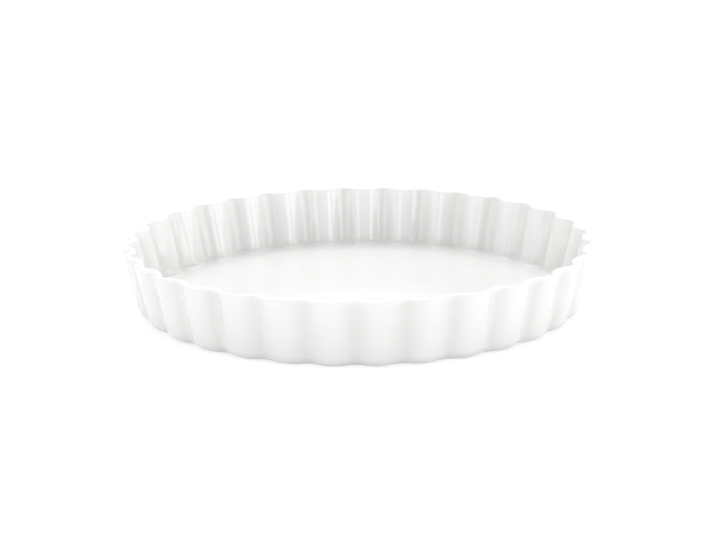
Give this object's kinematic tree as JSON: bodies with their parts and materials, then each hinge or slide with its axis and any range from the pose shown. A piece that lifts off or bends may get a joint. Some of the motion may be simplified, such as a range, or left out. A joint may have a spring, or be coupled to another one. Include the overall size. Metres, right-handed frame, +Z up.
{
  "type": "fluted quiche dish",
  "caption": "Round shallow baking dish with a flared fluted wall, a rounded wavy lip, a flat floor and a bare foot ring underneath.",
  "frame": {"origin": "middle of the plane that the foot ring stands on", "axes": "+Z up along the dish's axis, towards the open rim; +X through the middle of a flute crest"},
  "size_m": [0.28, 0.28, 0.0395],
  "materials": {
    "bare_porcelain": "matt, unglazed",
    "clear_glaze": "gloss glaze over white porcelain"
  },
  "bodies": {
    "root": {"porcelain_body": "bare_porcelain", "glaze_coat": "clear_glaze", "underside_glaze": "clear_glaze"}
  },
  "joints": []
}
